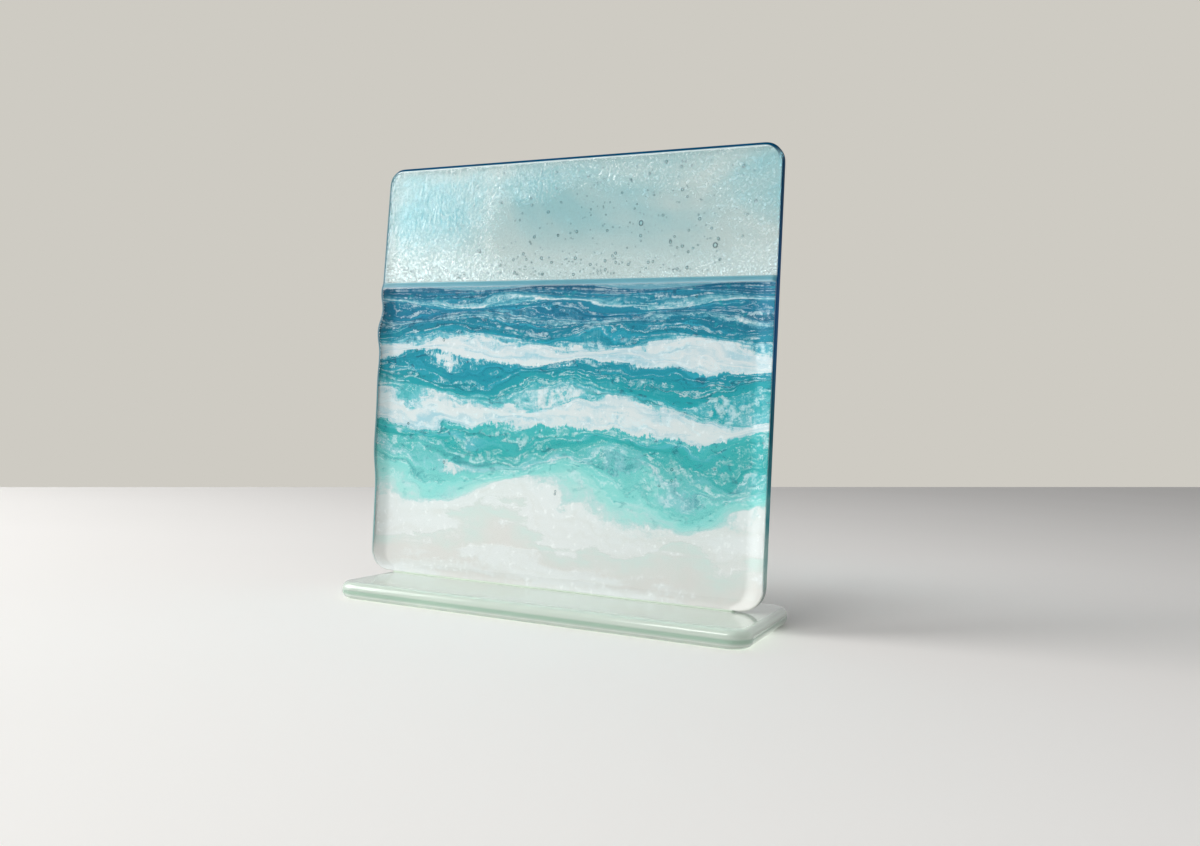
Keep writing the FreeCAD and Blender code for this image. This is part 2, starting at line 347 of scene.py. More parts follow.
# Narrow flat rings beside the arris keep its shading off the faces
FLAT_MARGINS = (0.2 * MM, 0.8 * MM)
STEP_NOSE = 2.8 * MM
STEP_HEIGHT = sky_low.y - sea_low.y
# A little under 1, so that the nose's rounding ends short of upright
STEP_ROUND = 0.9999
LOOP_SPACING = 0.5 * MM
GRID = 4 * MM
GRID_BORDERS = (6 * MM, 5 * MM)
GRID_GAP = 1.2 * MM
# Fine rows of the grid across the step: their middle below the horizon, and their reach
STEP_MIDDLE, STEP_REACH = 1.4 * MM, 3.4 * MM
STEP_START, STEP_ROW, STEP_ROWS = 3.2 * MM, 0.22 * MM, 20

back_points = corners_of("back_sheet")
sea_points = corners_of("sea_sheet")
back_face = back_points[back_points[:, 1] < frit_back + TOUCH][:, [0, 2]]
sea_face = sea_points[sea_points[:, 1] > frit_front - TOUCH][:, [0, 2]]
above = back_face[back_face[:, 1] > horizon]
below = sea_face[sea_face[:, 1] < horizon - STEP_NOSE]
panel_loop = loop_of(np.vstack([above, below]), LOOP_SPACING)


def step_depth(z):
    """How far the front lies behind the sea sheet's face: a rounded nose, then the sky's face."""
    t = np.clip((z - (horizon - STEP_NOSE)) / STEP_NOSE, 0, 1)
    return STEP_HEIGHT * (1 - np.sqrt(1 - t ** 2 * (2 - t) ** 2 * STEP_ROUND))


def lift_panel(flat, depth):
    """depth is a face, "front" or "back", and how far inside it the points lie."""
    face, inside = depth
    if face == "front":
        y = sea_low.y + step_depth(flat[:, 1]) + inside
    else:
        y = np.full(len(flat), back_high.y - inside)
    return np.stack([flat[:, 0], y, flat[:, 1]], axis=1)


def panel_rings():
    rings = [(ARRIS + margin, ("front", 0), 0) for margin in FLAT_MARGINS[::-1]]
    for face, turns in (("front", TURNS_IN), ("back", TURNS_OUT)):
        for turn in turns:
            inset, inside = ARRIS * (1 - math.cos(turn)), ARRIS * (1 - math.sin(turn))
            rings.append((inset, (face, inside), 1 - turn / (math.pi / 2)))
    return rings + [(ARRIS + margin, ("back", 0), 0) for margin in FLAT_MARGINS]


def panel_grid(with_step):
    """Points on a grid well inside the panel's outline, with fine rows across the step."""
    before, after = GRID_BORDERS
    rows = list(np.arange(foot + before, top - after, GRID))
    if with_step:
        rows = [z for z in rows if abs(z - horizon + STEP_MIDDLE) > STEP_REACH]
        rows += list(horizon - STEP_START + np.arange(STEP_ROWS) * STEP_ROW)
    columns = np.arange(panel_left + before, panel_right - after, GRID)
    return well_inside(panel_loop, columns, rows, ARRIS + FLAT_MARGINS[-1] + GRID_GAP)


# ---------------------------------------------------------------- materials of the panel

# Noises are given by their scale, their detail, their roughness and their twist, and what
# spread() takes by low, high, start and end

# Where parts of the panel's glass begin and are whole, by height, by width or by depth
FRONT = frit_back, frit_front
SKY_FACE = horizon - 0.3 * MM, horizon + 0.8 * MM
NOSE_FOOT = horizon - 3.4 * MM, horizon - 1.8 * MM
NOSE_TOP = horizon + 0.5 * MM, horizon
UNDER_TOP = top - 3.0 * MM, top - 1.6 * MM
LEFT_EDGE = panel_left + 9 * MM, panel_left + 6.5 * MM
# Where the ripple fades: by the rim, by height and by width
FLAT_ARRIS = 0.1, 0.6, 1, 0
FLAT_TOP = top - 1.6 * MM, top - 0.9 * MM, 1, 0
FLAT_LEFT = panel_left + 3 * MM, panel_left + 16 * MM, 0.25, 1

# The rippled sky face is calmest low and right of the middle, where the bubbles show
CALM_PLACE = (0.014, horizon + 20 * MM)
CALM_REACH = (66 * MM, 22 * MM)
CALM_NOISE = (60, 2)
CALM_UNEVEN = 1.2
CALM_TO_LIVELY = (0.2, 1.8)
CALM_RIPPLE = 0.03

RIPPLE_NOISE = (640, 3, 0.6, 0.5)
RIPPLE_SQUASH = 0.8
FINE_NOISE, FINE_SHARE = (1400, 2), 0.3
SWELL_NOISE, SWELL_SHARE = (42, 2, 0.5), 0.5
FACE_RELIEF, FACE_STRENGTH = 0.50 * MM, 0.85
SMOOTH = 0.02
HAMMERED_ROUGH = (0, 0.7, 0.01, 0.10)
MORE_ROUGH = 0.3
ROUGH_ARRIS = 0.0, 0.3
# How clear the glass stays under the painted nose and the painted band under the top
PAINTED_BANDS_CLEAR = 0.40

GLASS_TINT = (250, 252, 253)
# The nose's painted grey-blue: the frit below it as seen through the curved glass
NOSE_PAINTED_FRIT_TONE = (84, 154, 170)
# A pale painted highlight in a band under the top edge
UNDER_TOP_PAINTED_HIGHLIGHT = (206, 226, 228)
PANEL_LETS_THROUGH = (0.98, 0.98, 0.98, 1)

# Painted reflection and shade on the rim, by its height in the panel: the frit's colours as the
# glass's edge shows them by reflection inside it
RIM_PAINTED_SHADES = (
    (0.00, (168, 204, 200)),
    (0.14, (60, 150, 158)),
    (0.30, (0, 96, 112)),
    (0.50, (0, 92, 132)),
    (0.72, (0, 86, 142)),
    (1.00, (0, 66, 98)),
)
# A paler painted shade on the left rim
LEFT_RIM_PAINTED_SHADE, LEFT_RIM_SHARE = (92, 124, 124), 0.7
RIM_NOISE, RIM_SWING = (90, 3, 0.6), 0.3
RIM_ROUGH, RIM_INDEX = 0.35, 1.05
# Where the painted dark begins on the arris: on the sides, along the top's back, and as a painted
# dark line along the top's front and the left's front
RIM_SIDES, RIM_TOP_BACK = (0.40, 0.75), (0.90, 0.99)
RIM_TOP_LINE, RIM_LEFT_LINE = (0.14, 0.24), (0.02, 0.10)
NEAR_TOP = top - 9 * MM, top - 2 * MM
# The rim's painted dark gives way to clear glass in front of the frit and near the foot
DARK_DEPTH = sky_low.y + 2.8 * MM, sky_low.y + 1.6 * MM, 0.1, 0.9
OFF_FOOT = foot + 2 * MM, foot + 22 * MM, 0.1, 1.0


def unrest(tree, point, x, z):
    """How rippled the sky face is: 0 in its calm middle, 1 well away from it."""
    aside, above = (tree.math("DIVIDE", tree.minus(value, middle), reach)
                    for value, middle, reach in zip((x, z), CALM_PLACE, CALM_REACH))
    away = tree.plus(tree.times(aside, aside), tree.times(above, above))
    uneven = tree.swing(tree.noise(point, *CALM_NOISE), CALM_UNEVEN)
    return tree.spread(tree.plus(away, uneven), *CALM_TO_LIVELY)


def panel_glass():
    tree = new_tree("fused_panel_glass")
    point, x, y, z = tree.place()
    rim = tree.attribute("rim")
    front, left = tree.spread(y, *FRONT), tree.spread(x, *LEFT_EDGE)

    # The ripple covers the sky's face up to the arris and fades towards the left edge
    sky = tree.times(tree.spread(z, *SKY_FACE), front)
    waves = tree.spread(unrest(tree, point, x, z), 0, 1, CALM_RIPPLE, 1)
    hammered = tree.times(sky, tree.spread(rim, *FLAT_ARRIS), tree.spread(z, *FLAT_TOP),
                          tree.spread(x, *FLAT_LEFT), waves)
    squashed = tree.vector(x, y, tree.times(z, RIPPLE_SQUASH))
    fine = tree.times(tree.noise(point, *FINE_NOISE), FINE_SHARE)
    relief = tree.plus(tree.noise(squashed, *RIPPLE_NOISE), fine)
    swell = tree.times(tree.noise(point, *SWELL_NOISE), SWELL_SHARE)
    height = tree.plus(tree.times(relief, hammered), swell)
    normal = tree.bump(height, FACE_RELIEF, FACE_STRENGTH)

    # Painted reflection: the rounded nose of the step is painted with the grey-blue of the frit
    # below it, standing in for the frit seen bent through the curved glass
    nose = tree.times(tree.spread(z, *NOSE_FOOT), tree.spread(z, *NOSE_TOP), front)
    # A pale painted highlight band just under the top, on the front
    under_top = tree.times(tree.spread(z, *UNDER_TOP), front)
    colour = tree.mix(nose, GLASS_TINT, NOSE_PAINTED_FRIT_TONE)
    colour = tree.mix(under_top, colour, UNDER_TOP_PAINTED_HIGHLIGHT)
    left_arris = tree.times(left, tree.spread(rim, *ROUGH_ARRIS))
    rough = tree.plus(
        tree.times(sky, tree.spread(hammered, *HAMMERED_ROUGH)),
        SMOOTH,
        tree.times(nose, MORE_ROUGH),
        tree.times(left_arris, MORE_ROUGH),
    )
    # The glass is less clear where the nose and the band under the top are painted
    clear = tree.spread(tree.most(nose, under_top), 0, 1, 1, PAINTED_BANDS_CLEAR)
    glass = tree.glass(colour, normal, rough, PANEL_LETS_THROUGH, clear)

    # Painted reflection and shade: the rim is painted dark in the frit's colours, as the glass's
    # edge shows them by reflection inside it, paler on the left and clear along the foot
    mottle = tree.swing(tree.noise(point, *RIM_NOISE), RIM_SWING)
    tall = tree.plus(tree.spread(z, foot, top), mottle)
    # The rim's painted dark, in the frit's colours by height
    dark = tree.ramp(tall, [(place, linear(colour)) for place, colour in RIM_PAINTED_SHADES])
    dark = tree.mix(tree.times(left, LEFT_RIM_SHARE), dark, LEFT_RIM_PAINTED_SHADE)
    inputs = {"Base Color": dark, "Roughness": RIM_ROUGH, "IOR": RIM_INDEX}
    edge = tree.shader("BsdfPrincipled", inputs)
    near_top = tree.spread(z, *NEAR_TOP)
    outline = tree.times(tree.most(near_top, left), front)
    share = tree.mix(near_top, tree.spread(rim, *RIM_SIDES), tree.spread(rim, *RIM_TOP_BACK))
    line = tree.mix(left, tree.spread(rim, *RIM_TOP_LINE), tree.spread(rim, *RIM_LEFT_LINE))
    share = tree.mix(outline, share, line)
    deep = tree.most(tree.spread(y, *DARK_DEPTH), tree.spread(left, 0, 1, 1, 0))
    share = tree.times(share, deep, tree.spread(z, *OFF_FOOT))
    return tree.output(tree.blend(share, glass, edge))


# Patterns of the frit: how often they change along x and across the swell, then their
# noise's detail, roughness and twist
DRIFT, DRIFT_SWING = (20, 0.55, 3, 0.55), 2.6
SWIRL, SWIRL_SWING = (70, 125, 3, 0.6, 0.8), 0.6
COMB, COMB_SWING = (760, 190, 2, 0.6), 0.42
STREAK = (9, 4.5, 4, 0.62, 0.4)
BLOT = (150, 270, 3, 0.6, 1.0)
LACE, LACE_SWING = (44, 2.6, 6, 0.72, 0.8), 1.5
FOOT_STREAK = (12, 90, 3, 0.55, 0.8)
THREAD = (11, 2.6, 3, 0.6, 0.3)
# Noises of the powder itself
GRAIN_NOISE, GRAIN_SWING = (1500, 2, 0.6), 0.16
GRIT_NOISE, GRIT_SWING = (430, 3, 0.6), 0.30

# Where things begin and are whole, counted in bands from the horizon
SHALLOW = 9.5, 12.5
WANDERS = 0.7, 2.6
STAINED_FROM, STAINED_TO = (0.8, 1.3), (12.6, 11.4)
COMBED = 10, 13, 1, 0.2
FOOT_LACE, FOOT_VEIL = (11.6, 13.0), (10.5, 13.2)
THREADS_TO = 12.2, 11.2
# Stains by a noise's value: where they begin, where they are whole and how strong they are
STREAKED_DEEP, STREAKED_PALE = (0.45, 0.30, 0, 0.75), (0.53, 0.70, 0, 0.65)
BLOTTED_DEEP, BLOTTED_GREEN = (0.43, 0.30, 0, 0.65), (0.56, 0.74, 0, 0.60)
# Foam by how thick it lies: a haze, then its white core, worn and gritty in places
FOAM_HAZE, FOAM_CORE = (0.34, 0.76, 0, 0.80), (0.60, 0.80)
FOAM_WORN, FOAM_GRITTY = (0.40, 0.56), (0.58, 0.70, 0, 0.7)
THREAD_WIDTH, THREAD_GRIT = (0.07, 0.0, 0, 0.7), (0.36, 0.60)
FRIT_ROUGH = 0.45, 0.75

# Colours in deep and in shallow water
DEEP_STAIN = (0, 70, 98), (44, 156, 158)
PALE_STAIN = (44, 160, 182), (192, 214, 211)
GREEN_STAIN = (20, 146, 152), (130, 206, 198)
FOAM_SHADE = (156, 190, 200), (199, 202, 200)
HAZE = (124, 186, 196), (197, 198, 196)
FOAM_WHITE = (204, 208, 208)
FOAM_GRIT = (219, 222, 222)
THREAD_WHITE = (200, 216, 219)
FRIT_RELIEF, FRIT_STRENGTH, FRIT_GLOSS = 0.12 * MM, 0.5, 0.15


def frit_material(name, colour_stops, foam_stops):
    tree = new_tree(name)
    point, x, _, z = tree.place()
    depth = tree.attribute("depth")

    def along(row, stretch, across, *pattern):
        flat = tree.vector(tree.times(x, stretch), tree.times(row, across))
        return tree.noise(flat, 1, *pattern)

    def by_band(value, stops):
        return tree.ramp(tree.math("DIVIDE", value, len(BANDS), clamp=True), stops)

    # The bands' borders wander more the further they lie from the straight horizon
    wander = tree.plus(tree.swing(along(depth, *DRIFT), DRIFT_SWING),
                       tree.swing(along(z, *SWIRL), SWIRL_SWING))
    wander = tree.times(wander, tree.spread(depth, *WANDERS))
    grain = tree.swing(tree.noise(point, *GRAIN_NOISE), GRAIN_SWING)
    grit = tree.noise(point, *GRIT_NOISE)
    moved = tree.plus(depth, wander, grain)
    colour = by_band(moved, colour_stops)
    shallow = tree.spread(moved, *SHALLOW)

    # Streaks drawn out along the swell, and blots where two powders met
    streak = along(moved, *STREAK)
    blot = along(z, *BLOT)
    deep, pale, green = (tree.mix(shallow, *pair)
                         for pair in (DEEP_STAIN, PALE_STAIN, GREEN_STAIN))
    inside = tree.times(tree.spread(depth, *STAINED_FROM), tree.spread(moved, *STAINED_TO))
    for stain, limits, tone in (
        (streak, STREAKED_DEEP, deep),
        (streak, STREAKED_PALE, pale),
        (blot, BLOTTED_DEEP, deep),
        (blot, BLOTTED_GREEN, green),
    ):
        stained = tree.times(inside, tree.spread(stain, *limits))
        colour = tree.mix(stained, colour, tone)

    # Foam: a haze that thickens to white along each crest and ends in short combed drips
    drips = tree.swing(along(z, *COMB), COMB_SWING)
    drips = tree.times(drips, tree.spread(depth, *COMBED))
    laid = by_band(tree.plus(moved, drips), foam_stops)
    lace = tree.mix(tree.spread(depth, *FOOT_LACE), along(moved, *LACE), along(z, *FOOT_STREAK))
    thick = tree.plus(laid, tree.swing(lace, LACE_SWING), tree.swing(grit, GRIT_SWING))
    haze, core = tree.spread(thick, *FOAM_HAZE), tree.spread(thick, *FOAM_CORE)
    veil = tree.mix(tree.spread(moved, *FOOT_VEIL), *HAZE)
    worn = tree.plus(tree.times(streak, 0.5), tree.times(lace, 0.5))
    shade = tree.mix(shallow, *FOAM_SHADE)
    white = tree.mix(tree.spread(worn, *FOAM_WORN), shade, FOAM_WHITE)
    white = tree.mix(tree.spread(grit, *FOAM_GRITTY), white, FOAM_GRIT)
    colour = tree.mix(haze, colour, veil)
    colour = tree.mix(core, colour, white)

    # Thin white threads in the open water
    thread = tree.math("ABSOLUTE", tree.swing(along(moved, *THREAD), 2.0))
    thread = tree.times(tree.spread(thread, *THREAD_WIDTH), tree.spread(grit, *THREAD_GRIT),
                        tree.spread(depth, *THREADS_TO))
    colour = tree.mix(thread, colour, THREAD_WHITE)
    height = tree.plus(core, tree.times(grit, 0.5))
    return tree.output(tree.shader("BsdfPrincipled", {
        "Base Color": colour,
        "Roughness": tree.spread(core, 0, 1, *FRIT_ROUGH),
        "Specular IOR Level": FRIT_GLOSS,
        "Normal": tree.bump(height, FRIT_RELIEF, FRIT_STRENGTH),
    }))


# The sky's powder: its clouds, and what it tints and scatters outside and inside them; painted
# glints and a painted glare on the left lie on it too
CLOUD_COUNTS, CLOUD_NOISE = (10, 17), (1, 4, 0.6, 0.5)
CLOUD_RANGE = (0.28, 0.66)
SKY_TINTS = (232, 249, 252), (178, 232, 243)
POWDER_TONES = (230, 249, 251), (158, 230, 243)
POWDER_GLOW = 0.35
HAZE_COUNT, HAZE_NOISE = 30, (1, 3, 0.6)
# White specks of painted glints, and how much of them stays in the calm middle
PAINTED_GLINT_NOISE, PAINTED_GLINT_RANGE = (700, 3, 0.7, 0.3), (0.46, 0.70)
CALM_PAINTED_GLINTS = 0.35
# The first share whitens the haze towards the left: a painted glare
LEFT_PAINTED_GLARE, LOW_HAZE, EVEN_HAZE, HAZE_SHARE = 0.10, 0.24, 0.30, 0.60
PAINTED_GLINT_SHARE, PAINTED_GLINT_LEAST = 0.9, 0.30
THICKEST = 0.9
CLOUDS_HIGH = horizon + 6 * MM, horizon + 34 * MM, 0.15, 1.0
# Where the painted glare begins and is whole, towards the left edge
PAINTED_GLARE_LEFT = panel_left + 100 * MM, panel_left + 10 * MM
HAZE_LOW = horizon + 20 * MM, horizon + 2 * MM


def sky_film():
    """The thin layer of pale powder between the sky sheets: aqua clouds and a white haze, whitened
    towards the left by a painted glare, with white specks that are painted glints.
    """
    tree = new_tree("sky_powder_and_painted_glints")
    point, x, _, z = tree.place()
    flat = tree.vector(*(tree.times(value, count) for value, count in zip((x, z), CLOUD_COUNTS)))
    cloud = tree.spread(tree.noise(flat, *CLOUD_NOISE), *CLOUD_RANGE)
    cloud = tree.times(cloud, tree.spread(z, *CLOUDS_HIGH))
    clear = tree.shader("BsdfTransparent", {"Color": tree.mix(cloud, *SKY_TINTS)})
    tone = tree.mix(cloud, *POWDER_TONES)
    white = tree.shader("BsdfDiffuse", {"Color": tone})
    glow = tree.shader("BsdfTranslucent", {"Color": tone})

    flat = tree.vector(tree.times(x, HAZE_COUNT), tree.times(z, HAZE_COUNT))
    # The haze is powder, whitened towards the left by a painted glare
    haze = tree.plus(
        tree.times(tree.spread(x, *PAINTED_GLARE_LEFT), LEFT_PAINTED_GLARE),
        tree.times(tree.spread(z, *HAZE_LOW), LOW_HAZE),
        tree.times(tree.noise(flat, *HAZE_NOISE), EVEN_HAZE),
    )
    # Painted glints: white specks on the powder that stand in for the ripple's glints, fewer where
    # the face is calm
    lively = tree.spread(unrest(tree, point, x, z), 0, 1, CALM_PAINTED_GLINTS, 1)
    painted_glints = tree.spread(tree.noise(point, *PAINTED_GLINT_NOISE), *PAINTED_GLINT_RANGE)
    painted_glints = tree.times(painted_glints, PAINTED_GLINT_SHARE, lively, tree.plus(haze, PAINTED_GLINT_LEAST))
    share = tree.math("MINIMUM", tree.plus(tree.times(haze, HAZE_SHARE), painted_glints), THICKEST)
    return tree.output(tree.blend(share, clear, tree.blend(POWDER_GLOW, white, glow)))


BUBBLE_CLEAR = (248, 254, 254)
# The bubbles' rims are painted dark: a painted shade where their surface turns away
BUBBLE_RIM_PAINTED_SHADE = (0, 44, 58), (10, 80, 96)
BUBBLE_FACING, BUBBLE_RING = 0.35, (0.04, 0.34)
BUBBLE_NOISE, BUBBLE_UNEVEN = (900, 2), (0.1, 0.5, 0.85, 1.0)
BUBBLE_ROUGH = 0.1


def bubble_material():
    tree = new_tree("air_bubble")
    facing = tree.add("LayerWeight", {"Blend": BUBBLE_FACING}).outputs["Facing"]
    uneven = tree.noise(tree.point(), *BUBBLE_NOISE)
    # Painted shade: a dark ring where the bubble's surface turns away from view
    ring = tree.times(tree.spread(facing, *BUBBLE_RING), tree.spread(uneven, *BUBBLE_UNEVEN))
    clear = tree.shader("BsdfTransparent", {"Color": BUBBLE_CLEAR})
    inputs = {"Base Color": tree.mix(uneven, *BUBBLE_RIM_PAINTED_SHADE), "Roughness": BUBBLE_ROUGH}
    return tree.output(tree.blend(ring, clear, tree.shader("BsdfPrincipled", inputs)))


# ---------------------------------------------------------------- the panel

def build_panel():
    points, faces, rims = slab(panel_loop, panel_rings(), panel_grid(True), panel_grid(False),
                               lift_panel)
    stands_for = ("back_sheet", "sky_sheet", "sea_sheet")
    piece = new_piece("fused_panel", points, faces, panel_glass(), stands_for)
    give_values(piece, "rim", rims)


build_panel()

# The frit's sides: the outline drawn in, without the parts that run level
FRIT_INSET = 0.6 * MM
LEVEL = 0.9999
inset_loop = panel_loop + inward(panel_loop) * FRIT_INSET
upright_part = np.abs(inward(panel_loop)[:, 1]) < LEVEL


def side_at(half):
    """One side of the inset outline, as x by height."""
    chosen = inset_loop[half & upright_part]
    chosen = chosen[np.argsort(chosen[:, 1])]
    return lambda z: np.interp(z, chosen[:, 1], chosen[:, 0])


left_at = side_at(inset_loop[:, 0] < panel_middle)
right_at = side_at(inset_loop[:, 0] > panel_middle)


def border_between(upper, lower):
    """The line on which two neighbouring bands meet, as height by x."""
    first = {tuple(p) for p in np.round(corners_of(upper)[:, [0, 2]], 6)}
    second = {tuple(p) for p in np.round(corners_of(lower)[:, [0, 2]], 6)}
    shared = np.array(sorted(first & second))
    return lambda x: np.interp(x, shared[:, 0], shared[:, 1])


# Towards its sides the frit layer rises to just under the rounded face
WRAP_REACH = 8 * MM
WRAP_COVER = 1.25 * MM
BAND_COLUMNS, BAND_ROWS = 200, 8
# The lowest band's rows crowd towards the foot, and the film's towards the top
FOOT_CROWD, TOP_CROWD = 1.6, 1.5
FILM_COLUMNS, FILM_ROWS = 90, 30
# The haze line keeps its colour to just short of its lower border
HAZE_LINE_END, DEEP_START = 0.86, 1.02
# A band from the middle of the panel gives the ground width for the borders' heights
GROUND_BAND = "teal_frit"


def build_frit():
    names = [name for name, _ in BANDS]
    count = len(names)
    frit_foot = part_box(names[-1])[0].z
    frit_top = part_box(names[0])[1].z
    borders = [lambda x: np.full_like(x, frit_top)]
    borders += [border_between(a, b) for a, b in zip(names, names[1:])]
    borders += [lambda x: np.full_like(x, frit_foot)]
    tones = [linear(colour) for _, colour in BANDS]
    colour_stops = [((k + 0.5) / count, tone) for k, tone in enumerate(tones)]
    colour_stops[1:1] = [(HAZE_LINE_END / count, tones[0]), (DEEP_START / count, tones[1])]
    foam_stops = [(row / count, (share, share, share, 1)) for row, share in FOAM]
    across = np.linspace(0, 1, BAND_COLUMNS + 1)
    ground_low, ground_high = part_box(GROUND_BAND)
    ground = ground_low.x + across * (ground_high.x - ground_low.x)
    faces = sheet_faces(BAND_COLUMNS, BAND_ROWS, upward=False)
    for k, name in enumerate(names):
        high, low = borders[k](ground), borders[k + 1](ground)
        points, depth = [], []
        for r in range(BAND_ROWS + 1):
            share = r / BAND_ROWS
            if k == count - 1:
                share = 1 - (1 - share) ** FOOT_CROWD
            z = high + (low - high) * share
            left, right = left_at(z), right_at(z)
            x = left + across * (right - left)
            near = np.clip(1 - np.minimum(x - left, right - x) / WRAP_REACH, 0, 1)
            forward = (frit_middle - sea_low.y - WRAP_COVER) * near ** 2 * (3 - 2 * near)
            points.append(np.stack([x, frit_middle - forward, z], axis=1))
            depth.append(np.full(BAND_COLUMNS + 1, k + share))
        slot_name = name.replace("_frit", "") + "_colour"
        material = frit_material(slot_name, colour_stops, foam_stops)
        piece = new_piece(name + "_pour", np.vstack(points), faces, material, (name,))
        give_values(piece, "depth", np.concatenate(depth))


build_frit()


def build_film():
    across = np.linspace(0, 1, FILM_COLUMNS + 1)
    points = []
    for r in range(FILM_ROWS + 1):
        share = 1 - (1 - r / FILM_ROWS) ** TOP_CROWD
        z = horizon + (top - FRIT_INSET - horizon) * share
        left, right = left_at(z), right_at(z)
        x = left + across * (right - left)
        points.append(np.stack([x, np.full_like(x, frit_middle), np.full_like(x, z)], axis=1))
    faces = sheet_faces(FILM_COLUMNS, FILM_ROWS, upward=True)
    new_piece("sky_powder_layer", np.vstack(points), faces, sky_film())


build_film()


def ball(centre, radii, rings=7, sides=12):
    points = [centre + Vector((0, 0, radii.z))]
    faces = []
    for r in range(1, rings):
        a = math.pi * r / rings
        for s in range(sides):
            b = 2 * math.pi * s / sides
            unit = Vector((math.sin(a) * math.cos(b), math.sin(a) * math.sin(b), math.cos(a)))
            points.append(centre + radii * unit)
    points.append(centre - Vector((0, 0, radii.z)))
    last = len(points) - 1
    for s in range(sides):
        t = (s + 1) % sides
        faces.append([0, 1 + s, 1 + t])
        faces.append([last, last - sides + t, last - sides + s])
        for r in range(rings - 2):
            a = 1 + r * sides
            faces.append([a + s, a + sides + s, a + sides + t, a + t])
    return [tuple(p) for p in points], faces


# Seeds of air: most are small and lie low in the sky, right of the middle
SKY_SEEDS, SEA_SEEDS = 330, 16
SEEDS_MIDDLE = 0.04
LARGE_SEEDS = (
    (0.036, 0.176, 1.15 * MM),
    (0.071, 0.165, 1.2 * MM),
    (-0.047, 0.166, 1.0 * MM),
    (0.012, 0.158, 0.7 * MM),
    (-0.02, 0.19, 0.7 * MM),
)
# Sizes are half widths in mm: in the sky mostly the smallest, in the sea within a range
SKY_SMALLEST, SKY_RANGE, SMALL_CROWD = 0.31, 0.48, 3
SEA_SIZES = 0.35, 0.75
# How far from the borders they lie, and how much they crowd towards the horizon
SKY_SIDE, SKY_FOOT, SKY_ROOM = 6 * MM, 2.5 * MM, top - horizon - 7 * MM
SEA_SIDE, SEA_FOOT, SEA_TOP = 9 * MM, 40 * MM, 8 * MM
LOW_CROWD = 1.7
# Depths in mm behind the sky sheet's face, and shapes as shares of the size
SEED_DEPTHS = 0.15, 0.6
SEED_WIDTHS, SEED_FLATNESS, SEED_HEIGHTS = (0.85, 1.1), 0.75, (0.85, 1.15)
BUBBLE_CHANCE = 7


def build_bubbles():
    chance = random.Random(BUBBLE_CHANCE)
    spots = []
    for _ in range(SKY_SEEDS):
        height = chance.random() ** LOW_CROWD
        x = chance.triangular(panel_left + SKY_SIDE, panel_right - SKY_SIDE, SEEDS_MIDDLE)
        z = horizon + SKY_FOOT + height * SKY_ROOM
        size = SKY_SMALLEST + SKY_RANGE * chance.random() ** SMALL_CROWD
        spots.append((x, z, size * MM))
    spots += LARGE_SEEDS
    for _ in range(SEA_SEEDS):
        x = chance.uniform(panel_left + SEA_SIDE, panel_right - SEA_SIDE)
        z = chance.uniform(foot + SEA_FOOT, horizon - SEA_TOP)
        spots.append((x, z, chance.uniform(*SEA_SIZES) * MM))
    points, faces = [], []
    for x, z, size in spots:
        y = sky_low.y + size + chance.uniform(*SEED_DEPTHS) * MM
        wide = size * chance.uniform(*SEED_WIDTHS)
        tall = size * chance.uniform(*SEED_HEIGHTS)
        made, sides = ball(Vector((x, y, z)), Vector((wide, size * SEED_FLATNESS, tall)))
        start = len(points)
        points += made
        faces += [[start + i for i in face] for face in sides]
    new_piece("air_bubbles", points, faces, bubble_material())


build_bubbles()

# ---------------------------------------------------------------- the base and its bond

base_low, base_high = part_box("base_lower_sheet")
base_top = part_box("base_upper_sheet")[1].z
seam = base_high.z
BASE_ARRIS = 3.2 * MM
# The base's faces run out softly into the arris: (how far in from it, how far down)
EASE_DROP = 0.12 * MM
BASE_EASE = (
    (0.9 * MM, EASE_DROP * 0.5),
    (2.0 * MM, EASE_DROP * 0.15),
    (3.2 * MM, 0),
    (4.0 * MM, 0),
)
SEAM_GROOVE = 0.05 * MM
BASE_LOOP_SPACING = 0.8 * MM
BASE_GRID, BASE_GRID_BORDERS, BASE_GRID_GAP = 6 * MM, (8 * MM, 7 * MM), 2 * MM
base_points = corners_of("base_upper_sheet")
on_seam = base_points[base_points[:, 2] < seam + TOUCH]
base_loop = loop_of(on_seam[:, [0, 1]], BASE_LOOP_SPACING)

BASE_TINTS, BASE_TINT_NOISE = ((214, 226, 216), (222, 231, 224)), (24, 2)
BASE_SWELL_NOISE, BASE_FINE_NOISE, BASE_FINE_SHARE = (38, 2, 0.5), (260, 2, 0.5), 0.04
BASE_RELIEF, BASE_STRENGTH = 0.25 * MM, 0.4
BASE_ROUGH, BASE_CLEAR, BASE_POLISH, BASE_INDEX = 0.25, 0.40, 1.0, 1.35
# Two painted lines along the rounded edge, a darker green painted shade near the seam and a pale
# painted highlight
# below it: their colours, then the height, the half width, where they are whole, and the rim's
# range
GREEN_PAINTED_SHADE, PALE_PAINTED_HIGHLIGHT = (160, 194, 174), (240, 250, 244)
GREEN_SHADE_PLACE = seam - 0.5 * MM, 1.5 * MM, 0.3 * MM, 0.7, 0.95
PALE_HIGHLIGHT_PLACE = seam - 2.0 * MM, 0.35 * MM, 0.1 * MM, 0.5, 0.9
LINE_SHARE = 0.8
BASE_DEPTH_COLOUR, BASE_DENSITY = (0.30, 0.72, 0.52, 1), 1.0
LETS_THROUGH = (0.95, 0.98, 0.96, 1)

BOND_TINTS, BOND_NOISE = ((190, 204, 188), (206, 216, 202)), (160, 3, 0.6)
BOND_RELIEF, BOND_STRENGTH, BOND_ROUGH, BOND_CLEAR = 0.05 * MM, 0.3, 0.45, 0.0


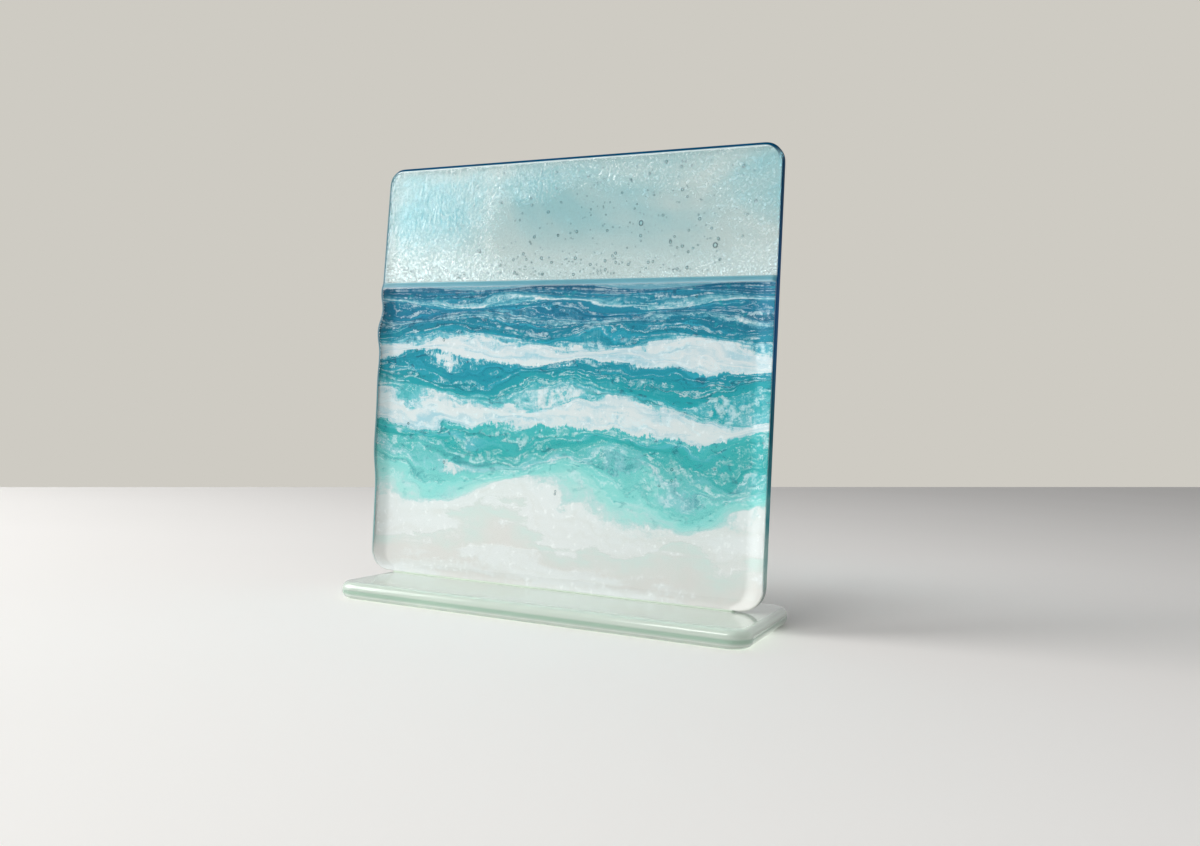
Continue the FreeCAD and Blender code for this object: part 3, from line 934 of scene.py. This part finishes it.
def base_glass():
    tree = new_tree("float_glass")
    point, _, _, z = tree.place()
    rim = tree.attribute("rim")

    def line(height, wide, narrow, *on_rim):
        off = tree.math("ABSOLUTE", tree.minus(z, height))
        near = tree.spread(off, wide, narrow, 0, LINE_SHARE)
        return tree.times(near, tree.spread(rim, *on_rim))

    colour = tree.mix(tree.noise(point, *BASE_TINT_NOISE), *BASE_TINTS)
    # Painted shade and a painted highlight along the rounded edge
    colour = tree.mix(line(*GREEN_SHADE_PLACE), colour, GREEN_PAINTED_SHADE)
    colour = tree.mix(line(*PALE_HIGHLIGHT_PLACE), colour, PALE_PAINTED_HIGHLIGHT)
    fine = tree.times(tree.noise(point, *BASE_FINE_NOISE), BASE_FINE_SHARE)
    height = tree.plus(tree.noise(point, *BASE_SWELL_NOISE), fine)
    normal = tree.bump(height, BASE_RELIEF, BASE_STRENGTH)
    shader = tree.glass(colour, normal, BASE_ROUGH, LETS_THROUGH, BASE_CLEAR, BASE_POLISH,
                        BASE_INDEX)
    absorb = tree.shader("VolumeAbsorption", {"Color": BASE_DEPTH_COLOUR, "Density": BASE_DENSITY})
    return tree.output(shader, Volume=absorb)


def bond_material():
    tree = new_tree("clear_adhesive")
    cloudy = tree.noise(tree.point(), *BOND_NOISE)
    normal = tree.bump(cloudy, BOND_RELIEF, BOND_STRENGTH)
    colour = tree.mix(cloudy, *BOND_TINTS)
    return tree.output(tree.glass(colour, normal, BOND_ROUGH, LETS_THROUGH, BOND_CLEAR))


def lift_base(flat, depth):
    return np.column_stack([flat, np.full(len(flat), depth)])


def build_base():
    def arris(turn):
        """How far in and how far from the face the arris lies, and how near the rim."""
        inside = EASE_DROP + (BASE_ARRIS - EASE_DROP) * (1 - math.sin(turn))
        return BASE_ARRIS * (1 - math.cos(turn)), inside, math.cos(turn)

    rings = [(BASE_ARRIS + margin, base_top - drop, 0) for margin, drop in BASE_EASE[::-1]]
    rings += [(inset, base_top - inside, rim) for inset, inside, rim in map(arris, TURNS_IN)]
    rings += [
        (0, seam + 2 * SEAM_GROOVE, 1),
        (SEAM_GROOVE, seam, 1),
        (0, seam - 2 * SEAM_GROOVE, 1),
    ]
    rings += [(inset, base_low.z + inside, rim) for inset, inside, rim in map(arris, TURNS_OUT)]
    rings += [(BASE_ARRIS + margin, base_low.z + drop, 0) for margin, drop in BASE_EASE]
    before, after = BASE_GRID_BORDERS
    columns = np.arange(base_low.x + before, base_high.x - after, BASE_GRID)
    rows = np.arange(base_low.y + before, base_high.y - after, BASE_GRID)
    margin = BASE_ARRIS + BASE_EASE[-1][0] + BASE_GRID_GAP
    grid = well_inside(base_loop, columns, rows, margin)
    points, faces, rims = slab(base_loop, rings, grid, grid, lift_base)
    stands_for = ("base_lower_sheet", "base_upper_sheet")
    piece = new_piece("base_bar", points, faces, base_glass(), stands_for)
    give_values(piece, "rim", rims)


build_base()

BOND_SIDES, BOND_STATIONS = 12, 260
BOND_CHANCE = 3
# The bead's uneven border is a sum of waves: radians per metre, phase and size
WAVES, WAVE_COUNTS, WAVE_STARTS, WAVE_SIZES = 6, (30, 160), (0, 6.3), (0.4, 1)
WAVE_TOTAL = 5
# A hair's breadth keeps the bond's faces off the glass
BOND_GAP = 0.02 * MM
BOND_END = 2 * MM
# Shares of the bead's half width: in all and in its waves, at its ends, and at its top
BOND_WIDTH, BOND_WAVE, BOND_TIP, BOND_TOP = 0.86, 0.02, 0.8, 0.82


def build_bond():
    low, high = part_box("bond_bead")
    middle, half_width = (low.y + high.y) / 2, (high.y - low.y) / 2
    tall = high.z - low.z - 2 * BOND_GAP
    chance = random.Random(BOND_CHANCE)
    waves = [[chance.uniform(*limits) for limits in (WAVE_COUNTS, WAVE_STARTS, WAVE_SIZES)]
             for _ in range(WAVES)]
    profile = []
    for k in range(BOND_SIDES):
        half, step = (-1, k) if k < BOND_SIDES / 2 else (1, BOND_SIDES - 1 - k)
        turn = math.pi / 2 * step / (BOND_SIDES / 2 - 1)
        profile.append((half * (BOND_TOP + (1 - BOND_TOP) * math.cos(turn)), math.sin(turn)))
    points, faces = [], []
    for x in np.linspace(low.x, high.x, BOND_STATIONS):
        end = max(min(1, (x - low.x) / BOND_END, (high.x - x) / BOND_END), 0)
        wave = sum(size * math.sin(count * x + start) for count, start, size in waves)
        reach = half_width * (BOND_WIDTH + BOND_WAVE * wave / WAVE_TOTAL)
        reach *= BOND_TIP + (1 - BOND_TIP) * end ** 0.5
        for share, height in profile:
            points.append((x, middle + share * reach, low.z + BOND_GAP + tall * height))
    for s in range(BOND_STATIONS - 1):
        a, b = s * BOND_SIDES, (s + 1) * BOND_SIDES
        for k in range(BOND_SIDES):
            j = (k + 1) % BOND_SIDES
            faces.append([a + k, b + k, b + j, a + j])
    last = (BOND_STATIONS - 1) * BOND_SIDES
    faces.append(list(range(BOND_SIDES)))
    faces.append([last + k for k in reversed(range(BOND_SIDES))])
    new_piece("adhesive_line", points, faces, bond_material(), ("bond_bead",))


build_bond()

# ---------------------------------------------------------------- the studio

FLOOR_TONES, FLOOR_NOISE = ((240, 238, 235), (245, 243, 241)), (3, 2)
FLOOR_ROUGH, FLOOR_GLOSS = 0.7, 0.2
FLOOR_DROP, FLOOR_REACH = 0.1 * MM, 5

# The camera stands to the right of the panel's middle, near the height of its lower third
CAMERA = Vector((0.2026, -0.4102, 0.0822))
YAW, PITCH, ROLL = 0.4149, 0.0082, 0.046
LENS, SENSOR = 29.95 * MM, 36 * MM
CLIP_START = 10 * MM
PHOTO_WIDTH, PHOTO_HEIGHT = 1200, 846
SHELF_LINE = 487
UP = Vector((0, 0, 1))
flat_right = Vector((math.cos(YAW), math.sin(YAW), 0))
flat_ahead = Vector((-math.sin(YAW), math.cos(YAW), 0))
ahead = flat_ahead * math.cos(PITCH) + UP * math.sin(PITCH)
upright = UP * math.cos(PITCH) - flat_ahead * math.sin(PITCH)
right = flat_right * math.cos(ROLL) + upright * math.sin(ROLL)
up = upright * math.cos(ROLL) - flat_right * math.sin(ROLL)


def floor_material():
    tree = new_tree("pale_floor")
    return tree.output(tree.shader("BsdfPrincipled", {
        "Base Color": tree.mix(tree.noise(tree.point(), *FLOOR_NOISE), *FLOOR_TONES),
        "Roughness": FLOOR_ROUGH,
        "Specular IOR Level": FLOOR_GLOSS,
    }))


def on_floor(column, row):
    """The point of the floor that the photograph shows at this pixel."""
    pixel = SENSOR / PHOTO_WIDTH
    aside = right * (column - PHOTO_WIDTH / 2) * pixel
    aim = ahead * LENS + aside - up * (row - PHOTO_HEIGHT / 2) * pixel
    return CAMERA - aim * (CAMERA.z / aim.z)


def build_floor():
    """A plain floor that ends behind the object on a line that is level in the picture."""
    drop = UP * FLOOR_DROP
    left_end, right_end = on_floor(0, SHELF_LINE), on_floor(PHOTO_WIDTH, SHELF_LINE)
    along = (right_end - left_end).normalized()
    near = Vector((along.y, -along.x, 0)) * 2 * FLOOR_REACH
    far_left = left_end - along * FLOOR_REACH
    far_right = left_end + along * 2 * FLOOR_REACH
    corners = (far_left + near, far_right + near, far_right, far_left)
    mesh = bpy.data.meshes.new("floor")
    mesh.from_pydata([p - drop for p in corners], [], [[0, 1, 2, 3]])
    floor = bpy.data.objects.new("floor", mesh)
    mesh.materials.append(floor_material())
    bpy.context.scene.collection.objects.link(floor)


build_floor()

# Soft lamps: name, place, what they point at, width, height, power and colour. The side
# window is mirrored in the sky's left, and the far one glints in its ripple
LAMPS = (
    ("window", (-1.36, -0.70, 0.76), (0.0, 0.02, 0.22), 1.0, 1.2, 21.5, (1.0, 0.99, 0.975)),
    ("side_window", (-0.88, -0.70, 0.42), (-0.06, 0.0, 0.18), 0.54, 0.24, 2.7, (0.98, 1.0, 1.0)),
    ("far_window", (-0.20, -0.96, 0.98), (0.05, 0.0, 0.20), 0.50, 0.40, 4.6, (1.0, 0.99, 0.97)),
    ("ceiling", (-0.3, -0.3, 1.3), (-0.2, -0.2, 0.0), 1.2, 1.2, 0.6, (1.0, 1.0, 1.0)),
)


def add_lamp(name, place, target, width, height, power, colour):
    data = bpy.data.lights.new(name, "AREA")
    data.shape = "RECTANGLE"
    data.size, data.size_y = width, height
    data.energy = power
    data.color = colour
    lamp = bpy.data.objects.new(name, data)
    lamp.location = place
    lamp.rotation_euler = (Vector(target) - Vector(place)).to_track_quat("-Z", "Y").to_euler()
    bpy.context.scene.collection.objects.link(lamp)


for lamp_values in LAMPS:
    add_lamp(*lamp_values)

BACKDROP = (206, 203, 195)
DIFFUSE_LIGHT = 0.33
# Mirrored in the glass, the room in front of the object is darker than the wall behind it
ROOM_TO_WALL, ROOM_LIGHT, WALL_LIGHT = (-0.1, 0.25), 0.24, 0.60


def build_world():
    """The backdrop's colour for what is seen directly or through glass, and the room's light."""
    world = bpy.data.worlds.new("studio")
    bpy.context.scene.world = world
    tree = Tree(world)
    path = tree.add("LightPath", {}).outputs
    seen = tree.most(path["Is Camera Ray"], path["Is Transmission Ray"])
    direction = tree.add("TexCoord", {}).outputs["Generated"]
    backwards = tree.add("SeparateXYZ", {0: direction}).outputs["Y"]
    room = tree.spread(backwards, *ROOM_TO_WALL, ROOM_LIGHT, WALL_LIGHT)
    strength = tree.add("Mix", {0: path["Is Glossy Ray"], 2: DIFFUSE_LIGHT, 3: room}).outputs[0]
    light = tree.shader("Background", {"Color": (1, 1, 1, 1), "Strength": strength})
    backdrop = tree.shader("Background", {"Color": BACKDROP, "Strength": 1.0})
    tree.add("OutputWorld", {"Surface": tree.blend(seen, light, backdrop)})


build_world()

camera_data = bpy.data.cameras.new("camera")
camera_data.sensor_width = SENSOR / MM
camera_data.lens = LENS / MM
camera_data.clip_start = CLIP_START
camera = bpy.data.objects.new("camera", camera_data)
bpy.context.scene.collection.objects.link(camera)
turned = Matrix((right, up, -ahead)).transposed().to_4x4()
camera.matrix_world = Matrix.Translation(CAMERA) @ turned
bpy.context.scene.camera = camera

bpy.context.scene.view_settings.view_transform = "Standard"
